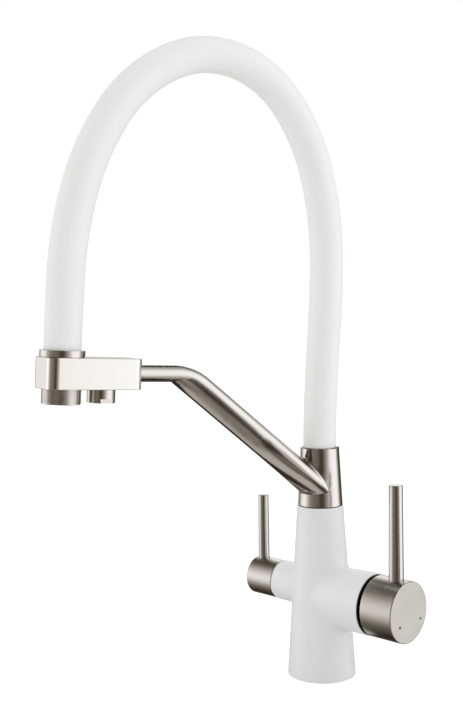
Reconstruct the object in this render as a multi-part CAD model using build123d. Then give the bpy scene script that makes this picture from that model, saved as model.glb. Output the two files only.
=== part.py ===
from build123d import *
import os
from math import atan2, cos, hypot, radians, sin, sqrt, tan

# Kitchen mixer tap with a filtered water side. A tapered column carries a
# mixer branch (+X) and a filter branch (-X). On its top a conical collar
# swivels with a bent arm whose end holds a block with two outlets, and a
# silicone hose arches from the collar to that block.
# Millimetres, +Z up, origin at the centre of the underside, spout towards -Y.

# Clearances
fit_gap = 0.05          # between pieces that are fixed to each other
run_gap = 0.05          # radial, a shaft that turns in its bore
swivel_gap = 0.1        # between the turning collar and its bearing washer
overrun = 5.0           # how far a cut runs past the face that it opens

# Column
base_diameter = 50.0
neck_diameter = 33.8
body_height = 126.0
body_edge = 0.6
cavity_diameter = 37.0
cavity_depth = 21.0

# Gasket under the column
gasket_outer_diameter = 46.0
gasket_width = 3.0
gasket_thickness = 2.0

# Inlet block, flush in the underside, with three hose inlets and two stud holes
inlet_bore_diameter = 9.0
inlet_bore_depth = 14.0
inlet_circle_diameter = 18.0
stud_bore_diameter = 5.0
stud_bore_depth = 16.0
stud_circle_diameter = 26.0
inlet_count = 3
stud_angle = 30.0

# Mixer branch
mixer_axis_height = 60.5
mixer_branch_diameter = 44.1
mixer_branch_reach = 49.3
mixer_root_share = 0.9
mixer_root_length = 34.0
mixer_blend_share = 0.15
mixer_rim_edge = 0.5
cartridge_diameter = 35.0
cartridge_length = 28.0
cartridge_front = 36.0
nut_height = 11.0
nut_bore_diameter = 27.0
shroud_width = 3.9
shroud_thickness = 0.6

# Moving part of the cartridge
rotor_diameter = 26.0
rotor_length = 18.5
rotor_floor = 2.5
stem_side = 8.0
stem_tail = 6.0
stem_grip = 10.0
pin_diameter = 3.2
pin_length = 20.0

# Mixer knob and its pin lever
mixer_gap = 2.8
mixer_knob_diameter = 43.3
mixer_knob_length = 26.4
mixer_knob_wall = 1.8
mixer_cavity_depth = 9.4
mixer_knob_edge = 0.7
tilt_pivot_depth = 25.0
lift_angle = 20.0
mixer_lever_offset = 15.8
mixer_lever_top = 148.5
mixer_lever_foot_diameter = 10.6
mixer_lever_tip_diameter = 9.7
lever_socket_depth = 2.5
lever_edge = 0.6

# Filter branch
filter_axis_height = 63.0
filter_branch_diameter = 29.4
filter_branch_reach = 37.2
filter_blend = 4.0
filter_rim_edge = 0.4
headwork_diameter = 18.0
headwork_length = 23.0
headwork_nut_diameter = 22.0
headwork_nut_height = 4.8
headwork_neck_diameter = 14.0
headwork_neck_height = 4.6
spindle_diameter = 8.0
spindle_engagement = 17.0
spindle_grip = 9.0

# Filter knob and its pin lever
filter_gap = 0.4
filter_knob_diameter = 28.7
filter_knob_length = 25.1
filter_knob_wall = 2.2
filter_cavity_depth = 11.5
filter_knob_edge = 0.6
filter_lever_offset = 19.5
filter_lever_top = 126.3
filter_lever_foot_diameter = 8.4
filter_lever_tip_diameter = 7.8

# Swivel joint
washer_thickness = 0.6
washer_inset = 0.25
spigot_diameter = 22.0
spigot_depth = 24.0
spigot_rise = 30.0
spigot_bore_diameter = 12.0
o_ring_section = 1.7
o_ring_width = 2.3
o_ring_heights_share = (0.28, 0.62)
retainer_depth = 1.2
retainer_rise = 25.0
grub_screw_diameter = 5.0
grub_recess = 0.5

# Collar
collar_rise = 43.2
collar_foot_diameter = 32.8
collar_lip_diameter = 28.2
collar_lip_edge = 0.7
hose_seat_depth = 10.7

# Arm
arm_diameter = 11.5
arm_root_rise = 14.3
arm_corner_share = 0.54
arm_bend_radius = 40.0
arm_depth = 18.9
flare_inset = 0.3
flare_length = 70.0
flare_station_count = 6
flare_blend = 1.6
arm_insertion = 12.0

# Holder block, at the end of the arm
spout_reach = 202.1
spout_swing = -12.8
holder_rise = 118.4
head_pitch = 3.5
block_width = 28.8
block_front = 13.9
block_rear = 51.4
block_height = 20.0
block_corner = 6.2
block_edge = 0.5
arm_screw_diameter = 4.0

# Hose and its two tails
hose_diameter = 24.0
hose_bore_diameter = 16.4
hose_lead = 1.0
tail_flange = 2.0
tail_bore_diameter = 10.0
tail_barb = 9.0
ring_diameter = 28.8
ring_height = 4.4
ring_edge = 0.3
hose_socket_depth = 8.0
tail_shank_diameter = 14.0
lower_shank_length = 1.0

# Main outlet
main_outlet_diameter = 24.9
main_outlet_length = 9.6
outlet_edge = 0.5
main_thread_diameter = 22.0
main_thread_depth = 5.4
main_aerator_diameter = 20.8
main_aerator_height = 6.5
aerator_recess = 0.8
main_water_diameter = 12.0
grid_hole_diameter = 1.8
grid_pitch = 3.0
grid_thickness = 1.2
grid_rim = 0.9

# Filter outlet
filter_outlet_offset = 27.7
filter_outlet_diameter = 18.4
filter_outlet_length = 9.0
filter_thread_diameter = 14.0
filter_thread_depth = 7.0
filter_aerator_diameter = 13.0
filter_aerator_height = 5.0
filter_water_diameter = 6.0
spanner_flats = 16.4
spanner_flat_height = 2.8

# The hose's curve: the heading at the end of each arc, in degrees from
# straight up, and the arc's length as a share of its own leg
rise_headings = (-3.1, -5.4, -0.3, 17.0, 40.5, 75.6)
rise_length_shares = (0.088, 0.199, 0.167, 0.217, 0.170, 0.159)
fall_headings = (113.0, 144.6, 161.7, 175.2)
fall_length_shares = (0.190, 0.226, 0.195, 0.219, 0.170)


def turned(*outline):
    """Solid of revolution about Z from (radius, height) points."""
    return revolve(Plane.XZ * make_face(Polyline(*outline, close=True)), Axis.Z)


def ring(outer, inner, low, high):
    """Plain ring or bush about Z, given by diameters and two heights."""
    return turned((inner / 2, low), (outer / 2, low), (outer / 2, high), (inner / 2, high))


def rod(diameter, low, high):
    """Plain cylinder about Z between two heights."""
    return Pos(0, 0, low) * Cylinder(diameter / 2, high - low, align=(Align.CENTER, Align.CENTER, Align.MIN))


def write(name, shape, place=Location()):
    """Save one piece as a STEP file, put at its place in the part."""
    solid = (place * shape).solid()
    solid.label = name
    export_step(solid, os.path.join("parts", name + ".step"))
    print(f"{name:22s} volume {solid.volume:10.1f}")
    return solid


os.makedirs("parts", exist_ok=True)

# Places of the sub-assemblies
mixer_place = Pos(0, 0, mixer_axis_height) * Rot(0, 90, 0)
filter_place = Pos(0, 0, filter_axis_height) * Rot(0, -90, 0)
swing = Rot(0, 0, spout_swing)
holder_height = body_height + holder_rise
head_place = swing * Pos(0, -spout_reach, holder_height) * Rot(-head_pitch, 0, 0)
spout_plane = Plane(origin=(0, 0, 0), x_dir=(0, -1, 0), z_dir=(-1, 0, 0))

# Column, branches and blends
column = turned(
    (0, 0),
    (base_diameter / 2, 0),
    (neck_diameter / 2, body_height),
    (0, body_height),
)
column_width = base_diameter - (base_diameter - neck_diameter) * mixer_axis_height / body_height
mixer_branch = mixer_place * turned(
    (0, 0),
    (mixer_root_share * column_width / 2, 0),
    (mixer_branch_diameter / 2, mixer_root_length),
    (mixer_branch_diameter / 2, mixer_branch_reach),
    (0, mixer_branch_reach),
)
filter_branch = filter_place * rod(filter_branch_diameter, 0, filter_branch_reach)


def seam(shape, side):
    """Edges where a branch leaves the column, on one side of it."""
    found = []
    for edge in shape.edges():
        if edge.geom_type in (GeomType.LINE, GeomType.CIRCLE):
            continue
        if side * edge.center().X > 0:
            found.append(edge)
    return found


casting = column + mixer_branch
casting = fillet(seam(casting, 1), mixer_blend_share * column_width)
casting = casting + filter_branch
casting = fillet(seam(casting, -1), filter_blend)
casting = fillet(casting.edges().filter_by(GeomType.CIRCLE).group_by(Axis.X)[-1], mixer_rim_edge)
casting = fillet(casting.edges().filter_by(GeomType.CIRCLE).group_by(Axis.X)[0], filter_rim_edge)
casting = fillet(casting.edges().filter_by(GeomType.CIRCLE).group_by(Axis.Z)[-1], body_edge)

cartridge_bore = cartridge_diameter + 2 * fit_gap
cartridge_back = cartridge_front - cartridge_length
gasket_inner_diameter = gasket_outer_diameter - 2 * gasket_width
casting -= rod(cavity_diameter, -overrun, cavity_depth)
casting -= ring(
    gasket_outer_diameter + 2 * fit_gap,
    gasket_inner_diameter - 2 * fit_gap,
    -overrun,
    gasket_thickness,
)
casting -= mixer_place * rod(cartridge_bore, cartridge_back, mixer_branch_reach + overrun)
casting -= filter_place * rod(
    headwork_diameter + 2 * fit_gap,
    filter_branch_reach - headwork_length,
    filter_branch_reach + overrun,
)
casting -= rod(spigot_diameter + 2 * fit_gap, body_height - spigot_depth, body_height + overrun)
write("body_casting", casting)

gasket = ring(gasket_outer_diameter, gasket_inner_diameter, 0, gasket_thickness)
write("base_gasket", gasket)

# Inlet block
inlet_block = rod(cavity_diameter - 2 * fit_gap, 0, cavity_depth)
inlet_cut = rod(inlet_bore_diameter, -overrun, inlet_bore_depth)
for place in PolarLocations(inlet_circle_diameter / 2, inlet_count, start_angle=90):
    inlet_block -= place * inlet_cut
stud_cut = rod(stud_bore_diameter, -overrun, stud_bore_depth)
for angle in (stud_angle, 180 - stud_angle):
    inlet_block -= Rot(0, 0, angle) * Pos(stud_circle_diameter / 2, 0, 0) * stud_cut
write("inlet_block", inlet_block)

# Cartridge, its nut, and the rotor that turns for temperature
rotor_back = cartridge_front - rotor_length
cartridge = rod(cartridge_diameter, cartridge_back, cartridge_front)
cartridge -= rod(rotor_diameter + 2 * run_gap, rotor_back - fit_gap, cartridge_front + overrun)
write("mixer_cartridge", cartridge, mixer_place)

nut = ring(cartridge_diameter, nut_bore_diameter, cartridge_front, cartridge_front + nut_height)
write("cartridge_nut", nut, mixer_place)

# Dark ring that covers the end of the branch, behind the knob
shroud_ring = ring(
    cartridge_diameter + 2 * shroud_width,
    cartridge_diameter + 2 * fit_gap,
    mixer_branch_reach,
    mixer_branch_reach + shroud_thickness,
)
write("branch_end_ring", shroud_ring, mixer_place)

knob_back = mixer_branch_reach + mixer_gap
knob_front = knob_back + mixer_knob_length
pivot = knob_back - tilt_pivot_depth
stem_end = knob_back + mixer_cavity_depth + stem_grip
rotor_slot_top = stem_side / 2 + stem_tail * sin(radians(lift_angle)) + run_gap
rotor_slot_floor = rotor_back + rotor_floor
rotor = rod(rotor_diameter, rotor_back, cartridge_front)
slot_height = rotor_slot_top + rotor_diameter
rotor -= Pos(rotor_slot_top * -1, 0, rotor_slot_floor) * Box(
    slot_height,
    stem_side + 2 * run_gap,
    rotor_length + overrun,
    align=(Align.MIN, Align.CENTER, Align.MIN),
)
pin_place = Pos(0, 0, pivot) * Rot(90, 0, 0)
rotor -= pin_place * rod(pin_diameter + 2 * fit_gap, -pin_length / 2, pin_length / 2)
write("cartridge_rotor", rotor, mixer_place)

pin = rod(pin_diameter, fit_gap - pin_length / 2, pin_length / 2 - fit_gap)
write("stem_pin", pin, mixer_place * pin_place)

stem = Pos(0, 0, pivot - stem_tail) * Box(
    stem_side,
    stem_side,
    stem_end - fit_gap - pivot + stem_tail,
    align=(Align.CENTER, Align.CENTER, Align.MIN),
)
stem -= pin_place * rod(pin_diameter + 2 * run_gap, -stem_side, stem_side)
write("cartridge_stem", stem, mixer_place)

# Mixer knob
mixer_knob = rod(mixer_knob_diameter, knob_back, knob_front)
mixer_knob = fillet(mixer_knob.edges().filter_by(GeomType.CIRCLE), mixer_knob_edge)
mixer_knob -= rod(
    mixer_knob_diameter - 2 * mixer_knob_wall,
    knob_back - overrun,
    knob_back + mixer_cavity_depth,
)
socket_side = stem_side + 2 * fit_gap
mixer_knob -= Pos(0, 0, knob_back) * Box(
    socket_side,
    socket_side,
    stem_end - knob_back,
    align=(Align.CENTER, Align.CENTER, Align.MIN),
)


def lever_floor(knob_diameter, foot_diameter):
    """Height over the knob's axis at which the lever's foot stands."""
    return sqrt((knob_diameter / 2) ** 2 - (foot_diameter / 2) ** 2) - lever_socket_depth


def lever(knob_diameter, foot_diameter, tip_diameter, top):
    """Tapered pin lever about Z, its height counted from the knob's axis."""
    floor = lever_floor(knob_diameter, foot_diameter)
    pin_lever = turned(
        (0, floor + fit_gap),
        (foot_diameter / 2, floor + fit_gap),
        (foot_diameter / 2, knob_diameter / 2),
        (tip_diameter / 2, top),
        (0, top),
    )
    return fillet(pin_lever.edges().filter_by(GeomType.CIRCLE).group_by(Axis.Z)[-1], lever_edge)


mixer_lever_x = knob_back + mixer_lever_offset
mixer_lever_place = Pos(mixer_lever_x, 0, mixer_axis_height)
mixer_floor = lever_floor(mixer_knob_diameter, mixer_lever_foot_diameter)
mixer_knob = mixer_place * mixer_knob
mixer_knob -= mixer_lever_place * rod(
    mixer_lever_foot_diameter + 2 * fit_gap,
    mixer_floor,
    mixer_knob_diameter,
)
write("mixer_knob", mixer_knob)
mixer_lever = lever(
    mixer_knob_diameter,
    mixer_lever_foot_diameter,
    mixer_lever_tip_diameter,
    mixer_lever_top - mixer_axis_height,
)
write("mixer_lever", mixer_lever, mixer_lever_place)

# Filter headwork with its spindle
headwork_back = filter_branch_reach - headwork_length
headwork_nut_top = filter_branch_reach + headwork_nut_height
headwork_top = headwork_nut_top + headwork_neck_height
spindle_back = headwork_top - spindle_engagement
headwork = turned(
    (0, headwork_back + fit_gap),
    (headwork_diameter / 2, headwork_back + fit_gap),
    (headwork_diameter / 2, filter_branch_reach),
    (headwork_nut_diameter / 2, filter_branch_reach),
    (headwork_nut_diameter / 2, headwork_nut_top),
    (headwork_neck_diameter / 2, headwork_nut_top),
    (headwork_neck_diameter / 2, headwork_top),
    (0, headwork_top),
)
headwork -= rod(spindle_diameter + 2 * run_gap, spindle_back - run_gap, headwork_top + overrun)
write("filter_headwork", headwork, filter_place)

filter_back = filter_branch_reach + filter_gap
filter_front = filter_back + filter_knob_length
filter_cavity_floor = filter_back + filter_cavity_depth
spindle_end = filter_cavity_floor + spindle_grip
spindle = rod(spindle_diameter, spindle_back, spindle_end - fit_gap)
write("filter_spindle", spindle, filter_place)

filter_knob = rod(filter_knob_diameter, filter_back, filter_front)
filter_knob = fillet(filter_knob.edges().filter_by(GeomType.CIRCLE), filter_knob_edge)
filter_knob -= rod(
    filter_knob_diameter - 2 * filter_knob_wall,
    filter_back - overrun,
    filter_cavity_floor,
)
filter_knob -= rod(spindle_diameter + 2 * fit_gap, filter_back, spindle_end)
filter_knob = filter_place * filter_knob
filter_lever_place = Pos(-filter_back - filter_lever_offset, 0, filter_axis_height)
filter_knob -= filter_lever_place * rod(
    filter_lever_foot_diameter + 2 * fit_gap,
    lever_floor(filter_knob_diameter, filter_lever_foot_diameter),
    filter_knob_diameter,
)
write("filter_knob", filter_knob)
filter_lever = lever(
    filter_knob_diameter,
    filter_lever_foot_diameter,
    filter_lever_tip_diameter,
    filter_lever_top - filter_axis_height,
)
write("filter_lever", filter_lever, filter_lever_place)

# Swivel spigot, bearing washer and O-rings
spigot_top = body_height + spigot_rise
retainer_height = body_height + retainer_rise
washer = ring(
    neck_diameter - 2 * body_edge - 2 * washer_inset,
    spigot_diameter + 2 * fit_gap,
    body_height,
    body_height + washer_thickness,
)
write("bearing_washer", washer)

spigot_back = body_height - spigot_depth
spigot = ring(spigot_diameter, spigot_bore_diameter, spigot_back, spigot_top)
groove_floor = spigot_diameter - 2 * o_ring_section - 2 * fit_gap
spigot_exposed = spigot_top - body_height
o_ring_names = ("spigot_o_ring_lower", "spigot_o_ring_upper")
for o_ring_name, height_share in zip(o_ring_names, o_ring_heights_share):
    o_ring_height = body_height + height_share * spigot_exposed
    spigot -= ring(
        spigot_diameter + overrun,
        groove_floor,
        o_ring_height - o_ring_width / 2,
        o_ring_height + o_ring_width / 2,
    )
    o_ring = Torus((spigot_diameter - o_ring_section) / 2, o_ring_section / 2)
    write(o_ring_name, o_ring, Pos(0, 0, o_ring_height))
spigot -= ring(
    spigot_diameter + overrun,
    spigot_diameter - 2 * retainer_depth,
    retainer_height - grub_screw_diameter / 2 - swivel_gap,
    retainer_height + grub_screw_diameter / 2 + swivel_gap,
)
write("swivel_spigot", spigot)

# Line of the arm in the spout's own plane: out and up from the collar, then
# level with the middle of the holder block
collar_foot = body_height + washer_thickness + swivel_gap
collar_top = body_height + collar_rise
collar_taper = (collar_foot_diameter - collar_lip_diameter) / 2 / (collar_top - collar_foot)
arm_root_height = body_height + arm_root_rise
half_block = block_height / 2
run_angle = radians(head_pitch)
block_mid = (
    spout_reach + half_block * sin(run_angle),
    holder_height - half_block * cos(run_angle),
)
arm_corner_reach = arm_corner_share * spout_reach
arm_corner = (
    arm_corner_reach,
    block_mid[1] - (block_mid[0] - arm_corner_reach) * tan(run_angle),
)
arm_slope = atan2(arm_corner[1] - arm_root_height, arm_corner_reach)
arm_inside = block_rear - arm_insertion
arm_end = (
    block_mid[0] - arm_inside * cos(run_angle),
    block_mid[1] - arm_inside * sin(run_angle),
)


def arm_frame(distance):
    """Plane square to the sloping run, at a distance from the column's axis."""
    out = distance * cos(arm_slope)
    up = arm_root_height + distance * sin(arm_slope)
    return Plane(origin=(0, -out, up), x_dir=(1, 0, 0), z_dir=(0, -cos(arm_slope), sin(arm_slope)))


def arm_section(distance, half_width, crown_height):
    """Egg-shaped section of the sloping run: two half ellipses on one line."""
    middle = (0, arm_diameter / 2 - crown_height)
    crown = EllipticalCenterArc(middle, half_width, crown_height, arc_size=180)
    foot = EllipticalCenterArc(middle, half_width, arm_depth - crown_height, 180, arc_size=180)
    return arm_frame(distance) * make_face([crown, foot])


# Sloping run: the flared root, lofted from an ellipse nearly as wide as the
# collar, whose widest line crosses the column's axis, to the arm's own section
pipe_radius = arm_diameter / 2
root_rise = arm_root_height - collar_foot
flare_half_width = collar_foot_diameter / 2 - collar_taper * root_rise - flare_inset
flare_setback = (arm_depth / 2 - pipe_radius) * tan(arm_slope)
flare_sections = []
for station in range(flare_station_count):
    share = station / (flare_station_count - 1)
    wider = (1 + cos(radians(180) * share)) / 2
    half_width = pipe_radius + (flare_half_width - pipe_radius) * wider
    crown_height = pipe_radius + (arm_depth / 2 - pipe_radius) * wider
    flare_sections.append(arm_section(share * flare_length - flare_setback, half_width, crown_height))
flare = loft(flare_sections)
flare_end = flare_length - flare_setback
even_section = arm_frame(flare_end) * make_face([
    CenterArc((0, 0), pipe_radius, 0, 180),
    EllipticalCenterArc((0, 0), pipe_radius, arm_depth - pipe_radius, 180, arc_size=180),
])
bend = arm_slope - run_angle
corner_distance = arm_corner_reach / cos(arm_slope)
bend_distance = corner_distance - arm_bend_radius * tan(bend / 2)
web_end = corner_distance + 2 * arm_depth
run_direction = (0, -cos(arm_slope), sin(arm_slope))
even_run = extrude(even_section, amount=web_end - flare_end, dir=run_direction)

# Round end of the arm, from inside the even section over the bend into the
# block. Past the bend only the web below the pipe's own line is kept
pipe_start = (flare_end + bend_distance) / 2
pipe_foot = (pipe_start * cos(arm_slope), arm_root_height + pipe_start * sin(arm_slope))
arm_line = FilletPolyline(pipe_foot, arm_corner, arm_end, radius=arm_bend_radius)
arm_path = spout_plane * arm_line
arm_start = Plane(arm_path.position_at(0), z_dir=arm_path.tangent_at(0))
arm_pipe = sweep(arm_start * Circle(pipe_radius), path=arm_path)
bend_arc = arm_line.edges().filter_by(GeomType.CIRCLE)[0]
bend_points = sorted((tuple(bend_arc @ 0)[:2], tuple(bend_arc @ 1)[:2]))
above_line = make_face([
    bend_arc,
    Polyline(
        bend_points[1],
        (bend_points[1][0] + web_end * cos(run_angle), bend_points[1][1] + web_end * sin(run_angle)),
        (bend_points[1][0] + web_end, bend_points[1][1] + web_end),
        (bend_points[0][0] - web_end * sin(arm_slope), bend_points[0][1] + web_end * cos(arm_slope)),
        bend_points[0],
    ),
])
even_run -= extrude(spout_plane * above_line, amount=arm_diameter, both=True)

# Collar, cast in one with the arm
collar = turned(
    (0, collar_foot),
    (collar_foot_diameter / 2, collar_foot),
    (collar_lip_diameter / 2, collar_top - collar_lip_edge),
    (collar_lip_diameter / 2 - collar_lip_edge, collar_top),
    (0, collar_top),
)
flare -= rod(base_diameter, 0, collar_foot)
bracket = collar + flare + (even_run + arm_pipe)
root_seam = []
for edge in bracket.edges().filter_by(GeomType.BSPLINE):
    middle = edge.center()
    if hypot(middle.X, middle.Y) < collar_foot_diameter / 2 and middle.Z > collar_foot:
        root_seam.append(edge)
bracket = fillet(root_seam, flare_blend)

seat_floor = collar_top - hose_seat_depth
bracket -= rod(spigot_diameter + 2 * run_gap, collar_foot - overrun, seat_floor + fit_gap)
bracket -= rod(hose_diameter + 2 * fit_gap, seat_floor, collar_top + overrun)
grub_place = Pos(0, 0, retainer_height) * Rot(-90, 0, 0)
bracket -= grub_place * rod(grub_screw_diameter + 2 * fit_gap, 0, base_diameter)
write("swivel_arm", bracket, swing)

collar_radius = collar_foot_diameter / 2 - collar_taper * (retainer_height - collar_foot)
grub_tip = spigot_diameter / 2 - retainer_depth + 2 * swivel_gap
grub_screw = rod(grub_screw_diameter, grub_tip, collar_radius - grub_recess)
write("collar_grub_screw", grub_screw, swing * grub_place)


def steps(headings, shares):
    """End and middle of each arc of a hose leg of unit length, as offsets.

    headings holds the heading at the leg's start and after each arc.
    """
    out = 0
    up = 0
    offsets = []
    for start, end, share in zip(headings, headings[1:], shares):
        turn = radians(end - start)
        to_middle = share / 2 * sin(turn / 4) / (turn / 4)
        to_end = share * sin(turn / 2) / (turn / 2)
        middle_heading = radians(start) + turn / 4
        end_heading = radians(start) + turn / 2
        middle = (out + to_middle * sin(middle_heading), up + to_middle * cos(middle_heading))
        out += to_end * sin(end_heading)
        up += to_end * cos(end_heading)
        offsets.append((middle, (out, up)))
    return offsets


# Hose: upright out of the collar, over in a chain of tangent arcs and down
# square into the holder block. The two legs are as long as it takes to end there
hose_foot = (0, seat_floor + tail_flange)
hose_free = (0, collar_top + hose_lead)
ring_top = (spout_reach - ring_height * sin(run_angle), holder_height + ring_height * cos(run_angle))
hose_end = (
    spout_reach + hose_socket_depth * sin(run_angle),
    holder_height - hose_socket_depth * cos(run_angle),
)
rise = steps((0,) + rise_headings, rise_length_shares)
fall = steps((rise_headings[-1],) + fall_headings + (180 - head_pitch,), fall_length_shares)
rise_out, rise_up = rise[-1][1]
fall_out, fall_up = fall[-1][1]
gap_out = ring_top[0] - hose_free[0]
gap_up = ring_top[1] - hose_free[1]
cross = rise_out * fall_up - fall_out * rise_up
rise_length = (gap_out * fall_up - fall_out * gap_up) / cross
fall_length = (rise_out * gap_up - gap_out * rise_up) / cross

hose_lines = [Line(hose_foot, hose_free)]
start = hose_free
for leg, length in ((rise, rise_length), (fall, fall_length)):
    base = start
    for middle, end in leg:
        through = (base[0] + length * middle[0], base[1] + length * middle[1])
        stop = (base[0] + length * end[0], base[1] + length * end[1])
        hose_lines.append(ThreePointArc(start, through, stop))
        start = stop
hose_lines.append(Line(start, hose_end))
hose_path = spout_plane * Wire([line.edge() for line in hose_lines])
hose_start = Plane(hose_path.position_at(0), z_dir=hose_path.tangent_at(0))
hose_face = hose_start * (Circle(hose_diameter / 2) - Circle(hose_bore_diameter / 2))
hose = sweep(hose_face, path=hose_path)
wall_area = (hose_diameter**2 - hose_bore_diameter**2) * radians(180) / 4
print("hose length", round(hose_path.length, 1), "legs", round(rise_length, 1), round(fall_length, 1))
print("hose volume against wall area times length", round(hose.volume / wall_area / hose_path.length, 4))
print("arc radii", [round(line.edge().radius) for line in hose_lines[1:-1]])
write("spout_hose", hose, swing)


def tail(floor, barb, shank_diameter, shank_length):
    """Hose tail about Z: barb up into the hose, flange, and a shank below."""
    return turned(
        (tail_bore_diameter / 2, floor - shank_length),
        (shank_diameter / 2, floor - shank_length),
        (shank_diameter / 2, floor),
        (hose_diameter / 2, floor),
        (hose_diameter / 2, floor + tail_flange),
        (hose_bore_diameter / 2 - fit_gap, floor + tail_flange),
        (hose_bore_diameter / 2 - fit_gap, floor + tail_flange + barb),
        (tail_bore_diameter / 2, floor + tail_flange + barb),
    )


lower_tail = tail(seat_floor, tail_barb, tail_shank_diameter, lower_shank_length)
write("hose_tail_lower", lower_tail, swing)

# Holder block with its sockets
block_low = -block_height
block = Pos(0, (block_rear - block_front) / 2, block_low) * Box(
    block_width,
    block_front + block_rear,
    block_height,
    align=(Align.CENTER, Align.CENTER, Align.MIN),
)
block = fillet(block.edges().filter_by(Axis.Z), block_corner)
block = fillet(block.faces().sort_by(Axis.Z)[-1].edges(), block_edge)
block = fillet(block.faces().sort_by(Axis.Z)[0].edges(), block_edge)
tail_floor = -hose_socket_depth - tail_flange
main_thread_top = block_low + main_thread_depth
filter_thread_top = block_low + filter_thread_depth
filter_outlet_place = Pos(0, filter_outlet_offset, 0)
arm_socket_place = Pos(0, block_rear - arm_insertion, block_low / 2) * Rot(-90, 0, 0)
arm_screw_place = Pos(0, block_rear - arm_insertion / 2, 0)
block -= rod(hose_diameter + 2 * fit_gap, tail_floor, overrun)
block -= rod(tail_shank_diameter + 2 * fit_gap, block_low, 0)
block -= rod(main_thread_diameter + 2 * fit_gap, block_low - overrun, main_thread_top + fit_gap)
block -= filter_outlet_place * rod(
    filter_thread_diameter + 2 * fit_gap,
    block_low - overrun,
    filter_thread_top + fit_gap,
)
block -= arm_socket_place * rod(arm_diameter + 2 * fit_gap, -fit_gap, arm_insertion + overrun)
block -= arm_screw_place * rod(arm_screw_diameter + 2 * fit_gap, block_low - overrun, block_low / 2)
write("holder_block", block, head_place)

arm_screw = rod(arm_screw_diameter, block_low + grub_recess, (block_low - arm_diameter) / 2 - fit_gap)
write("arm_grub_screw", arm_screw, head_place * arm_screw_place)

hose_ring = ring(ring_diameter, hose_diameter + 2 * fit_gap, 0, ring_height)
rims = hose_ring.edges().filter_by(GeomType.CIRCLE)
hose_ring = fillet(rims.group_by(SortBy.RADIUS)[-1], ring_edge)
write("hose_ring", hose_ring, head_place)

upper_tail = tail(tail_floor, tail_barb, tail_shank_diameter, tail_floor - main_thread_top - 2 * fit_gap)
write("hose_tail_upper", upper_tail, head_place)


def nozzle(diameter, length, thread_diameter, thread_top, water_diameter, insert_diameter, insert_height):
    """Outlet about Z below the block: thread, body and pocket for its insert."""
    low = block_low - length
    pocket_top = low + aerator_recess + insert_height
    body = turned(
        (water_diameter / 2, pocket_top),
        (water_diameter / 2, thread_top),
        (thread_diameter / 2, thread_top),
        (thread_diameter / 2, block_low),
        (diameter / 2, block_low),
        (diameter / 2, low),
        (insert_diameter / 2 + fit_gap, low),
        (insert_diameter / 2 + fit_gap, pocket_top),
    )
    rims = body.edges().filter_by(GeomType.CIRCLE).group_by(Axis.Z)[0]
    return fillet(rims.sort_by(SortBy.RADIUS)[-1], outlet_edge)


def insert(diameter, height, length):
    """Aerator insert about Z: a cup whose floor is a grid of round holes."""
    low = block_low - length + aerator_recess
    cup = rod(diameter, low, low + height)
    inside = diameter - 2 * grid_rim
    cup -= rod(inside, low + grid_thickness, low + height + overrun)
    hole = rod(grid_hole_diameter, low - overrun, low + height)
    cup -= hole
    for turn in range(1, int((inside - grid_hole_diameter) / 2 / grid_pitch) + 1):
        cup -= [place * hole for place in PolarLocations(turn * grid_pitch, 6 * turn)]
    return cup


main_outlet = nozzle(
    main_outlet_diameter,
    main_outlet_length,
    main_thread_diameter,
    main_thread_top,
    main_water_diameter,
    main_aerator_diameter,
    main_aerator_height,
)
write("main_outlet", main_outlet, head_place)
write("main_aerator", insert(main_aerator_diameter, main_aerator_height, main_outlet_length), head_place)

filter_outlet = nozzle(
    filter_outlet_diameter,
    filter_outlet_length,
    filter_thread_diameter,
    filter_thread_top,
    filter_water_diameter,
    filter_aerator_diameter,
    filter_aerator_height,
)
filter_low = block_low - filter_outlet_length
for side in (1, -1):
    filter_outlet -= Pos(side * spanner_flats / 2, 0, filter_low - overrun) * Box(
        spanner_flats,
        filter_outlet_diameter + overrun,
        spanner_flat_height + overrun,
        align=(Align.MIN if side > 0 else Align.MAX, Align.CENTER, Align.MIN),
    )
write("filter_outlet", filter_outlet, head_place * filter_outlet_place)
filter_insert = insert(filter_aerator_diameter, filter_aerator_height, filter_outlet_length)
write("filter_aerator", filter_insert, head_place * filter_outlet_place)
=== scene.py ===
from math import cos, pi, radians, sin, tan

import bpy
from mathutils import Matrix, Vector


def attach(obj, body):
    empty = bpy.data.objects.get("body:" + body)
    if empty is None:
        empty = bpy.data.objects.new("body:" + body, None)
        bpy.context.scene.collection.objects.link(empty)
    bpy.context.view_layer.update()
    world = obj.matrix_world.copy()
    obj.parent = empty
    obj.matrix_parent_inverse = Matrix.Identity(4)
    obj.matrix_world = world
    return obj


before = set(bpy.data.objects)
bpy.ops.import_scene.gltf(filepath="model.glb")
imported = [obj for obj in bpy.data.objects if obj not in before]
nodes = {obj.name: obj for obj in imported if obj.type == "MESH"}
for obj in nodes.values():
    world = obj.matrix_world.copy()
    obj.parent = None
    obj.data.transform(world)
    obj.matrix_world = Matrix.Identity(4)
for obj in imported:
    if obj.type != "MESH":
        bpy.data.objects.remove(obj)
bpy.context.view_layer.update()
scene = bpy.context.scene

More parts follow.
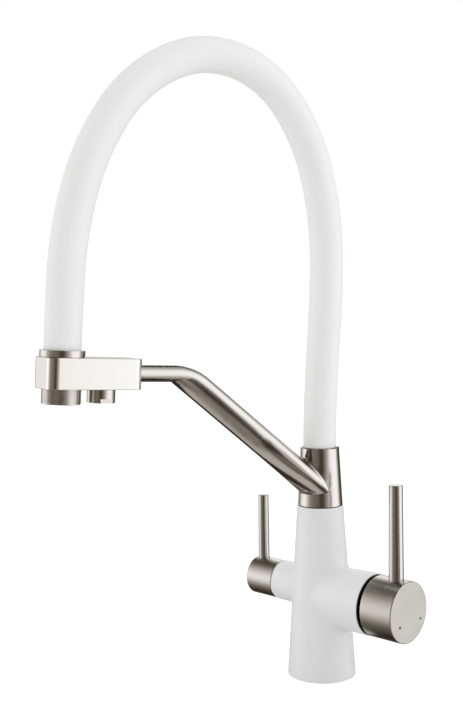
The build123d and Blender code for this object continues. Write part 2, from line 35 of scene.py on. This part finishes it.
# The camera: a 54 mm lens at spout height, on the front right of the tap,
# tipped down a little and with the slight lean of the photograph's horizon.
camera_azimuth = radians(44.5)
camera_pitch = radians(3.91)
camera_lean = radians(-0.85)
camera_place = (0.50565, -0.60562, 0.2872)
focal_length_mm = 54
sensor_height_mm = 36
looks_along = Vector((
    -sin(camera_azimuth) * cos(camera_pitch),
    cos(camera_azimuth) * cos(camera_pitch),
    -sin(camera_pitch),
))
level_right = Vector((cos(camera_azimuth), sin(camera_azimuth), 0))
level_up = level_right.cross(looks_along)
camera_right = level_right * cos(camera_lean) + level_up * sin(camera_lean)
camera_up = level_up * cos(camera_lean) - level_right * sin(camera_lean)
camera_turn = Matrix((camera_right, camera_up, -looks_along)).transposed()
lens = bpy.data.cameras.new("studio_camera")
lens.sensor_fit = "VERTICAL"
lens.sensor_height = sensor_height_mm
lens.lens = focal_length_mm
camera = bpy.data.objects.new("studio_camera", lens)
camera.matrix_world = Matrix.Translation(camera_place) @ camera_turn.to_4x4()
scene.collection.objects.link(camera)
scene.camera = camera
scene.view_settings.view_transform = "Standard"


# The room: a white backdrop all round, at full white where the camera or a
# reflection sees it, and a little lower where it lights the tap.
class Wire:
    """One shader socket, so that a finish reads as plain expressions."""

    def __init__(self, tree, out=None):
        self.tree = tree
        self.out = out

    def node(self, kind, settings, inputs, output=0):
        """A new node: its settings first, then the values or wires of its sockets."""
        made = self.tree.nodes.new(kind)
        for name, value in settings.items():
            if name == "stops":
                while len(made.color_ramp.elements) < len(value):
                    made.color_ramp.elements.new(1)
                for stop, (place, colour) in zip(made.color_ramp.elements, value):
                    stop.position = place
                    stop.color = (*colour, 1)
            else:
                setattr(made, name, value)
        for name, value in inputs.items():
            if isinstance(value, Wire):
                self.tree.links.new(value.out, made.inputs[name])
            else:
                made.inputs[name].default_value = value
        return Wire(self.tree, made.outputs[output])

    def math(self, operation, first, second):
        return self.node("ShaderNodeMath", {"operation": operation}, {0: first, 1: second})

    def vector(self, operation, second, output=0):
        settings = {"operation": operation}
        return self.node("ShaderNodeVectorMath", settings, {0: self, 1: second}, output)

    def mix(self, first, second):
        """The colour between two colours, with this value as the factor."""
        ends = [end if isinstance(end, Wire) else (*end, 1) for end in (first, second)]
        colours = {0: self, 6: ends[0], 7: ends[1]}
        return self.node("ShaderNodeMix", {"data_type": "RGBA"}, colours, 2)

    def __add__(self, other):
        return self.math("ADD", self, other)

    __radd__ = __add__

    def __sub__(self, other):
        return self.math("SUBTRACT", self, other)

    def __rsub__(self, other):
        return self.math("SUBTRACT", other, self)

    def __mul__(self, other):
        return self.math("MULTIPLY", self, other)

    __rmul__ = __mul__

    def __gt__(self, other):
        return self.math("GREATER_THAN", self, other)


room_light = 0.88
seen_by = ("Is Camera Ray", "Is Glossy Ray", "Is Transmission Ray")
room = bpy.data.worlds.new("white_room")
room.use_nodes = True
room.node_tree.nodes.clear()
scene.world = room
start = Wire(room.node_tree)
camera_ray, glossy_ray, clear_ray = [
    start.node("ShaderNodeLightPath", {}, {}, kind) for kind in seen_by
]
seen = start.math("MINIMUM", camera_ray + glossy_ray + clear_ray, 1)
backdrop = start.node("ShaderNodeBackground", {}, {
    "Color": (1, 1, 1, 1),
    "Strength": seen * (1 - room_light) + room_light,
})
room_end = room.node_tree.nodes.new("ShaderNodeOutputWorld")
room.node_tree.links.new(backdrop.out, room_end.inputs["Surface"])


# The table: plain white laminate that runs out of view. Seen directly it is
# lifted to the backdrop's white, and the tap's soft shadow stays on it.
def new_mesh(name, points, faces):
    """A new object with a mesh of its own, in the scene."""
    mesh = bpy.data.meshes.new(name)
    mesh.from_pydata(points, [], faces)
    made = bpy.data.objects.new(name, mesh)
    scene.collection.objects.link(made)
    return made


def new_finish(name):
    """An empty material: itself, a wire to start from, and its surface socket."""
    material = bpy.data.materials.new(name)
    material.use_nodes = True
    tree = material.node_tree
    tree.nodes.clear()
    end = tree.nodes.new("ShaderNodeOutputMaterial")
    return material, Wire(tree), end.inputs["Surface"]


table_half = 6
table_corners = ((-1, -1), (1, -1), (1, 1), (-1, 1))
laminate_white = (0.86, 0.86, 0.86, 1)
lifted_grey = (0.42, 0.42, 0.42, 1)
lifted_glow = 0.74
table = new_mesh(
    "table",
    [(x * table_half, y * table_half, 0) for x, y in table_corners],
    [(0, 1, 2, 3)],
)
material, start, surface = new_finish("white_table")
laminate = start.node("ShaderNodeBsdfDiffuse", {}, {"Color": laminate_white})
lifted = start.node("ShaderNodeAddShader", {}, {
    0: start.node("ShaderNodeBsdfDiffuse", {}, {"Color": lifted_grey}),
    1: start.node("ShaderNodeEmission", {}, {"Color": (1, 1, 1, 1), "Strength": lifted_glow}),
})
seen = start.node("ShaderNodeLightPath", {}, {}, "Is Camera Ray")
look = start.node("ShaderNodeMixShader", {}, {0: seen, 1: laminate, 2: lifted})
start.tree.links.new(look.out, surface)
table.data.materials.append(material)
table.visible_glossy = False

# The lamps: two large soft boxes at the sides of the tap and a weaker one
# overhead. Their light is soft and plain, and metal mirrors the shell below
# in their place. around is in degrees, from the camera's side.
tap_middle = Vector((0, -0.08, 0.2))
camera_side = camera_azimuth - pi / 2
for name, around, height, distance, size, power in (
    ("soft_box_right", 84, 0.45, 1.5, 1.3, 4.0),
    ("soft_box_left", -104, 0.45, 1.5, 1.3, 3.0),
    ("soft_box_above", 150, 1.5, 0.5, 1.2, 2.0),
):
    lamp = bpy.data.lights.new(name, "AREA")
    lamp.shape = "SQUARE"
    lamp.size = size
    lamp.energy = power
    box = bpy.data.objects.new(name, lamp)
    way = camera_side + radians(around)
    outwards = Vector((distance * cos(way), distance * sin(way), height - tap_middle.z))
    box.location = tap_middle + outwards
    box.rotation_euler = outwards.to_track_quat("Z", "Y").to_euler()
    box.visible_glossy = False
    scene.collection.objects.link(box)


# The light that brushed metal mirrors: one unseen shell round the tap that
# glows softly where the fronts of the two boxes stand and is dark elsewhere.
def ring(centre, side, up, radius, count):
    """The points of a circle round a centre, from side towards up."""
    ways = [2 * pi * step / count for step in range(count)]
    return [centre + (side * cos(way) + up * sin(way)) * radius for way in ways]


def band(near, far, count):
    """The faces between two rings of points, by each ring's first number."""
    nexts = [(step + 1) % count for step in range(count)]
    return [
        (near + step, near + after, far + after, far + step)
        for step, after in enumerate(nexts)
    ]


x_axis = Vector((1, 0, 0))
y_axis = Vector((0, 1, 0))
z_axis = Vector((0, 0, 1))
shell_radius = 3
shell_rows = 24
shell_columns = 48
shell_strength = 1.5
points = []
faces = []
for row in range(shell_rows + 1):
    tilt = pi * (row / shell_rows - 0.5)
    middle = z_axis * shell_radius * sin(tilt)
    points += ring(middle, x_axis, y_axis, shell_radius * cos(tilt), shell_columns)
for row in range(shell_rows):
    faces += band(row * shell_columns, (row + 1) * shell_columns, shell_columns)
light_shell = new_mesh("light_shell", points, faces)
light_shell.location = tap_middle
light_shell.rotation_euler.z = camera_side
material, start, surface = new_finish("light_shell")
place = start.node("ShaderNodeTexCoord", {}, {}, "Object")
along_x, along_y, along_z = [
    start.node("ShaderNodeSeparateXYZ", {}, {0: place}, name) for name in ("X", "Y", "Z")
]
turn = start.math("ARCTAN2", along_y, along_x) * (0.5 / pi) + 0.5
level = along_z * (0.5 / shell_radius) + 0.5


def round_about(stops):
    """A value by degrees round the tap, from the camera's side to its right."""
    places = [(around / 360 + 0.5, (glow, glow, glow)) for around, glow in stops]
    return start.node("ShaderNodeValToRGB", {"stops": places}, {0: turn})


def up_and_down(stops):
    """A value by degrees over the level of the tap's middle."""
    places = [(sin(radians(height)) / 2 + 0.5, (glow, glow, glow)) for height, glow in stops]
    return start.node("ShaderNodeValToRGB", {"stops": places}, {0: level})


boxes = round_about((
    (-180, 0.34), (-160, 0.2), (-142, 0.24), (-131, 0.42), (-122, 0.74), (-112, 0.95),
    (-91, 0.98), (-80, 0.76), (-71, 0.42), (-51, 0.2), (-32, 0.15), (-15, 0.13),
    (-2, 0.05), (10, 0.04), (20, 0.12), (34, 0.32), (45, 0.52), (54, 0.86), (62, 0.96),
    (76, 1), (98, 1), (107, 0.66), (115, 0.28), (124, 0.06), (150, 0.05), (165, 0.16),
    (180, 0.34),
))
right_reach = up_and_down((
    (-88, 0.05), (-78, 0.14), (-64, 0.26), (-50, 0.46), (-33, 0.85), (-18, 1),
    (22, 1), (34, 0.84), (46, 0.6), (60, 0.42), (76, 0.22), (88, 0.14),
))
left_reach = up_and_down((
    (-88, 0.04), (-60, 0.05), (-44, 0.14), (-34, 0.32), (-20, 0.74), (-9, 1),
    (6, 1), (22, 0.66), (36, 0.34), (46, 0.15), (60, 0.08), (88, 0.14),
))
on_right = round_about(((-180, 0), (-30, 0), (20, 1), (130, 1), (180, 0)))
reach = right_reach * on_right + left_reach * (1 - on_right)

# What stands in front of the boxes: a black flag low on the right, a grey
# card under the camera, and a white panel behind the tap.
flag_cut = 0.95
card_glow = 0.42
panel_glow = 0.9
flag = round_about(((26, 0), (34, 1), (52, 1), (60, 0)))
flag = flag * up_and_down(((-46, 0), (-40, 1), (-18, 1), (-10, 0)))
card = round_about(((-70, 0), (-40, 1), (22, 1), (33, 0)))
card = card * up_and_down(((-88, 0), (-78, 1), (-43, 1), (-37, 0)))
panel = round_about(((-180, 1), (-166, 1), (-152, 0), (152, 0), (166, 1), (180, 1)))
panel = panel * up_and_down(((2, 0), (9, 1), (30, 1), (38, 0)))
glow = boxes * reach * (1 - card) * (1 - flag * flag_cut) + card * card_glow
glow = glow * (1 - panel) + panel * panel_glow
warmth = start.node("ShaderNodeValToRGB", {"stops": [
    (0, (0, 0, 0)),
    (0.05, (0.056, 0.046, 0.033)),
    (0.12, (0.13, 0.11, 0.086)),
    (0.4, (0.42, 0.385, 0.35)),
    (1, (1, 0.995, 0.985)),
]}, {0: glow})
shine = start.node("ShaderNodeEmission", {}, {"Color": warmth, "Strength": shell_strength})
start.tree.links.new(shine.out, surface)
light_shell.data.materials.append(material)
light_shell.visible_camera = False
light_shell.visible_diffuse = False
light_shell.visible_shadow = False
light_shell.visible_transmission = False


# The column: a brass casting with its two branches, blended by grinding and
# coated with satin white powder, whose skin has a faint orange peel.
def coat(start, surface, settings):
    """Joins a finish's main shader, from its sockets' values and wires."""
    shader = start.node("ShaderNodeBsdfPrincipled", {}, settings)
    start.tree.links.new(shader.out, surface)


def dress(material, *names):
    """Puts a finish on every material slot of CAD nodes."""
    for name in names:
        for slot in nodes[name].material_slots:
            slot.material = material


material, start, surface = new_finish("white_powder_coat")
place = start.node("ShaderNodeTexCoord", {}, {}, "Object")
peel = start.node("ShaderNodeTexNoise", {}, {"Vector": place, "Scale": 900, "Detail": 2})
cloud = start.node("ShaderNodeTexNoise", {}, {"Vector": place, "Scale": 45, "Detail": 3})
skin = start.node("ShaderNodeBump", {}, {"Height": peel, "Strength": 0.12, "Distance": 0.00006})
coat(start, surface, {
    "Base Color": cloud.mix((0.79, 0.79, 0.795), (0.82, 0.82, 0.825)),
    "Roughness": peel * 0.12 + 0.36,
    "Normal": skin,
    "Specular IOR Level": 0.4,
})
dress(material, "body_casting")

# The seals: the gasket under the foot and the two rings in the spigot's
# grooves, moulded in black rubber and pressed into place by hand.
material, start, surface = new_finish("black_rubber")
place = start.node("ShaderNodeTexCoord", {}, {}, "Object")
grain = start.node("ShaderNodeTexNoise", {}, {"Vector": place, "Scale": 1400, "Detail": 3})
pores = start.node("ShaderNodeBump", {}, {"Height": grain, "Strength": 0.3, "Distance": 0.00005})
coat(start, surface, {
    "Base Color": grain.mix((0.018, 0.018, 0.018), (0.045, 0.045, 0.045)),
    "Roughness": grain * 0.2 + 0.62,
    "Normal": pores,
})
dress(material, "base_gasket", "spigot_o_ring_lower", "spigot_o_ring_upper")


# The turned brass: the block in the foot, which the supply hoses and the
# fixing studs screw into, and the spigot that the arm's collar turns on.
def tooled(name, centre, axis, metal, across, along, roughness, depth, face=None, shape=None):
    """Bare metal with tool or brush marks that follow an axis.

    metal is its dark and its light colour. across and along say how often the
    marks change on the way out from the axis and on the way along it, per
    metre: rings are fine along it only. roughness is the metal's mean one and
    depth is how strongly the marks show. face is the height over the centre
    from which the metal is the duller end face, and shape is a function that
    adds a larger relief to that of the marks.
    """
    mark_height = 0.000005
    mark_share = 0.6
    cloud_scale = 60
    spread = 0.06
    face_grey = (0.30, 0.285, 0.27)
    face_share = 0.14
    face_dullness = 0.16
    material, start, surface = new_finish(name)
    axis = tuple(axis.normalized())
    place = start.node("ShaderNodeTexCoord", {}, {}, "Object").vector("SUBTRACT", tuple(centre))
    height = place.vector("DOT_PRODUCT", axis, 1)
    scale = {"operation": "SCALE"}
    upright = start.node("ShaderNodeVectorMath", scale, {0: axis, "Scale": height})
    outward = place.vector("SUBTRACT", upright)
    marks_out = start.node("ShaderNodeVectorMath", scale, {0: outward, "Scale": across})
    marks_up = start.node("ShaderNodeVectorMath", scale, {0: upright, "Scale": along})
    marks = start.node("ShaderNodeTexNoise", {}, {
        "Vector": marks_out.vector("ADD", marks_up),
        "Scale": 1,
        "Detail": 4,
    })
    cloud = start.node("ShaderNodeTexNoise", {}, {
        "Vector": place,
        "Scale": cloud_scale,
        "Detail": 2,
    })
    relief = start.node("ShaderNodeBump", {}, {
        "Height": marks,
        "Strength": depth,
        "Distance": mark_height,
    })
    colour = (marks * mark_share + cloud * (1 - mark_share)).mix(*metal)
    dullness = marks * spread + (roughness - spread / 2)
    if face:
        on_face = height > face
        colour = (on_face * face_share).mix(colour, face_grey)
        dullness = dullness + on_face * face_dullness
    if shape:
        relief = shape(start, relief)
    coat(start, surface, {
        "Base Color": colour,
        "Metallic": 1.0,
        "Roughness": dullness,
        "Normal": relief,
    })
    return material


brass = ((0.74, 0.57, 0.30), (0.86, 0.69, 0.41))
turned_brass = tooled(
    "turned_brass", Vector(), z_axis, brass,
    across=4000, along=300, roughness=0.3, depth=0.4,
)
dress(turned_brass, "inlet_block", "swivel_spigot")


# The cartridge: its body and turning rotor are moulded in pale plastic, and the
# washer in black. The ring nut and the ring on the branch's end are black as painted shade for
# the dark gap round the knob.
def moulded(name, scale, dark, light, dullness, texture=None):
    """Plastic with a fine grain. texture is how high its mould raised the grain."""
    material, start, surface = new_finish(name)
    place = start.node("ShaderNodeTexCoord", {}, {}, "Object")
    grain = start.node("ShaderNodeTexNoise", {}, {"Vector": place, "Scale": scale, "Detail": 2})
    settings = {"Base Color": grain.mix(dark, light), "Roughness": grain * 0.15 + dullness}
    if texture:
        settings["Normal"] = start.node("ShaderNodeBump", {}, {
            "Height": grain,
            "Strength": 0.2,
            "Distance": texture,
        })
    coat(start, surface, settings)
    return material


pale_moulding = moulded(
    "cartridge_moulding", scale=700,
    dark=(0.66, 0.66, 0.64), light=(0.74, 0.74, 0.72), dullness=0.4,
)
dress(pale_moulding, "mixer_cartridge", "cartridge_rotor")
# Painted shade: the black on the ring nut and on the branch's end ring stands for the shadow in
# the gap round the knob.
black_moulding_and_painted_gap_shade = moulded(
    "black_moulding_and_painted_gap_shade", scale=1100,
    dark=(0.006, 0.006, 0.006), light=(0.014, 0.014, 0.014), dullness=0.5, texture=0.00004,
)
dress(black_moulding_and_painted_gap_shade, "cartridge_nut", "branch_end_ring", "bearing_washer")

# The small steel parts: the cartridge's stem and its pin, and the two grub
# screws, all from drawn bar.
mixer_height = 0.0605
mixer_axis = z_axis * mixer_height
steel = ((0.42, 0.42, 0.43), (0.58, 0.58, 0.59))
drawn_steel = tooled(
    "drawn_steel", mixer_axis, x_axis, steel,
    across=2500, along=60, roughness=0.28, depth=0.2,
)
dress(drawn_steel, "cartridge_stem", "stem_pin", "collar_grub_screw", "arm_grub_screw")

# The mixer knob and its pin lever: solid brass turned to size, plated with
# nickel and brushed round its axis, with a duller end face.
nickel = ((0.555, 0.54, 0.52), (0.65, 0.635, 0.615))
knob_colours = ((0.5, 0.485, 0.465), (0.71, 0.695, 0.675))
brushed = {"across": 60, "along": 2400, "roughness": 0.28, "depth": 0.6}
turned = {"across": 150, "along": 6000, "roughness": 0.2, "depth": 0.4}
knob_end = 0.0785
face_depth = 0.0002
knob_nickel = tooled(
    "knob_nickel", mixer_axis, x_axis, knob_colours,
    **brushed, face=knob_end - face_depth,
)
dress(knob_nickel, "mixer_knob")
mixer_lever_foot = Vector((0.0679, 0, 0.06))
lever_nickel = tooled("mixer_lever_nickel", mixer_lever_foot, z_axis, nickel, **turned)
dress(lever_nickel, "mixer_lever")

# The two index dots on the knob's end: a drop of red and of blue enamel, hot
# on the left and cold on the right. across and up are from the knob's axis.
dot_rise = 0.00004
dot_flat_share = 0.8
dot_sides = 28
for name, dot_radius, across, up, dark, light in (
    ("index_dot_hot", 0.0012, -0.0105, -0.0081, (0.13, 0.012, 0.014), (0.22, 0.03, 0.03)),
    ("index_dot_cold", 0.00095, 0.0137, -0.0070, (0.01, 0.014, 0.035), (0.02, 0.03, 0.07)),
):
    top = Vector((knob_end + dot_rise, across, mixer_height + up))
    foot = Vector((knob_end, across, mixer_height + up))
    points = [
        top,
        *ring(top, y_axis, z_axis, dot_radius * dot_flat_share, dot_sides),
        *ring(foot, y_axis, z_axis, dot_radius, dot_sides),
    ]
    inner = 1
    outer = inner + dot_sides
    faces = [(0, inner + side, inner + (side + 1) % dot_sides) for side in range(dot_sides)]
    faces += band(outer, inner, dot_sides)
    dot = new_mesh(name, points, faces)
    material, start, surface = new_finish(name)
    place = start.node("ShaderNodeTexCoord", {}, {}, "Object")
    pigment = start.node("ShaderNodeTexNoise", {}, {"Vector": place, "Scale": 3000, "Detail": 2})
    coat(start, surface, {
        "Base Color": pigment.mix(dark, light),
        "Roughness": pigment * 0.1 + 0.3,
    })
    dot.data.materials.append(material)
    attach(dot, "mixer_lift")

# The filter valve: a turned brass headwork and spindle, and the small nickel
# knob with its pin lever on the far side of the column.
filter_axis = Vector((0, 0, 0.063))
valve_brass = tooled(
    "valve_brass", filter_axis, x_axis, brass,
    across=200, along=3000, roughness=0.3, depth=0.4,
)
dress(valve_brass, "filter_headwork", "filter_spindle")
small_nickel = tooled("filter_knob_nickel", filter_axis, x_axis, nickel, **brushed)
dress(small_nickel, "filter_knob")
filter_lever_foot = Vector((-0.0571, 0, 0.063))
small_lever = tooled("filter_lever_nickel", filter_lever_foot, z_axis, nickel, **turned)
dress(small_lever, "filter_lever")

# The arm: one nickel plated casting of the conical collar and the rising arm,
# linished lengthwise, which turns on the spigot. The waist between its round
# pipe and the foot of its web is in the shading only.
swing = radians(-12.8)
rise = radians(39)
level_pitch = radians(3.5)
corner_reach = 0.1091
outward = Vector((sin(swing), -cos(swing), 0))
run = outward * cos(rise) + z_axis * sin(rise)
arm_root = Vector((0, 0, 0.1403))
arm_corner = arm_root + (outward + z_axis * tan(rise)) * corner_reach
waist_top = -0.0003
waist_foot = 0.0117
waist_depth = 0.0019
waist_blend = 0.012
waist_starts = 0.018
waist_full = 0.07


def waisted(start, relief):
    """Adds the waist below the pipe's axis, away from the column."""
    spot = start.node("ShaderNodeTexCoord", {}, {}, "Object")
    below_rising, below_level = [
        spot.vector("SUBTRACT", tuple(point)).vector("DOT_PRODUCT", tuple(down), 1)
        for point, down in (
            (arm_root, outward * sin(rise) - z_axis * cos(rise)),
            (arm_corner, outward * sin(level_pitch) - z_axis * cos(level_pitch)),
        )
    ]
    below = start.node("ShaderNodeMath", {"operation": "SMOOTH_MIN"}, {
        0: below_rising,
        1: below_level,
        2: waist_blend,
    })
    off_column = spot.vector("MULTIPLY", (1, 1, 0)).vector("LENGTH", (0, 0, 0), 1)
    soft = {"interpolation_type": "SMOOTHSTEP"}
    thinner = start.node("ShaderNodeMapRange", soft, {
        0: below,
        1: waist_top,
        2: waist_foot,
        3: 0.0,
        4: -1.0,
    })
    clear = start.node("ShaderNodeMapRange", soft, {
        0: off_column,
        1: waist_starts,
        2: waist_full,
        3: 0.0,
        4: 1.0,
    })
    return start.node("ShaderNodeBump", {}, {
        "Height": thinner * clear,
        "Strength": 1.0,
        "Distance": waist_depth,
        "Normal": relief,
    })


arm_nickel = tooled(
    "arm_nickel", arm_root, run, nickel,
    across=6500, along=160, roughness=0.18, depth=0.35, shape=waisted,
)
dress(arm_nickel, "swivel_arm")

# The head: a machined nickel block on the arm's end, with a thin ring round
# the hose and two screwed outlets below it.
head_reach = 0.2021
head_height = 0.2444
head = outward * head_reach + z_axis * head_height
head_up = z_axis * cos(level_pitch) - outward * sin(level_pitch)
head_back = -outward * cos(level_pitch) - z_axis * sin(level_pitch)
filter_outlet_back = 0.0277
block_colours = ((0.67, 0.663, 0.65), (0.73, 0.723, 0.71))
block_nickel = tooled(
    "block_nickel", head, head_up, block_colours,
    across=5000, along=400, roughness=0.16, depth=0.25,
)
dress(block_nickel, "holder_block")
ring_nickel = tooled("ring_nickel", head, head_up, nickel, **turned)
dress(ring_nickel, "hose_ring", "main_outlet")
filter_outlet_at = head + head_back * filter_outlet_back
outlet_nickel = tooled("filter_outlet_nickel", filter_outlet_at, head_up, nickel, **turned)
dress(outlet_nickel, "filter_outlet")

# The lines round the main outlet: seven fine ridges of the same nickel, cut
# in its side on the lathe, for a grip when it is screwed into the block. The
# profile is each ridge's section: up its side, and out from it.
line_top = -0.0211
line_pitch = 0.00117
line_count = 7
line_sides = 96
outlet_radius = 0.01245
line_profile = (
    (-0.00042, -0.00006),
    (-0.0002, 0.00014),
    (0, 0.0002),
    (0.0002, 0.00014),
    (0.00042, -0.00006),
)
outlet_side = head_up.orthogonal().normalized()
outlet_across = head_up.cross(outlet_side)
points = []
faces = []
for line in range(line_count):
    firsts = []
    for along, proud in line_profile:
        firsts.append(len(points))
        middle = head + head_up * (line_top - line * line_pitch + along)
        points += ring(middle, outlet_side, outlet_across, outlet_radius + proud, line_sides)
    for near, far in zip(firsts, firsts[1:] + firsts[:1]):
        faces += band(near, far, line_sides)
outlet_lines = new_mesh("main_outlet_lines", points, faces)
for face in outlet_lines.data.polygons:
    face.use_smooth = True
outlet_lines.data.materials.append(ring_nickel)
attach(outlet_lines, "spout")

# The inserts in the two outlets: grey plastic plates, moulded with the small
# holes that break up the jet, and pushed into the outlets from below.
grey_moulding = moulded(
    "insert_moulding", scale=900,
    dark=(0.42, 0.42, 0.42), light=(0.52, 0.52, 0.52), dullness=0.4,
)
dress(grey_moulding, "main_aerator", "filter_aerator")

# The hose: white silicone tube with a satin skin, pushed on barbed brass
# tails in the collar and in the block.
material, start, surface = new_finish("white_silicone")
place = start.node("ShaderNodeTexCoord", {}, {}, "Object")
cloud = start.node("ShaderNodeTexNoise", {}, {"Vector": place, "Scale": 30, "Detail": 3})
grain = start.node("ShaderNodeTexNoise", {}, {"Vector": place, "Scale": 1200, "Detail": 2})
skin = start.node("ShaderNodeBump", {}, {"Height": grain, "Strength": 0.1, "Distance": 0.00005})
coat(start, surface, {
    "Base Color": cloud.mix((0.86, 0.86, 0.86), (0.89, 0.89, 0.89)),
    "Roughness": grain * 0.1 + 0.48,
    "Normal": skin,
    "Specular IOR Level": 0.35,
})
dress(material, "spout_hose")
lower_tail_at = Vector((0, 0, 0.16))
tail_brass = tooled(
    "tail_brass", lower_tail_at, z_axis, brass,
    across=150, along=2500, roughness=0.3, depth=0.4,
)
dress(tail_brass, "hose_tail_lower", "hose_tail_upper")
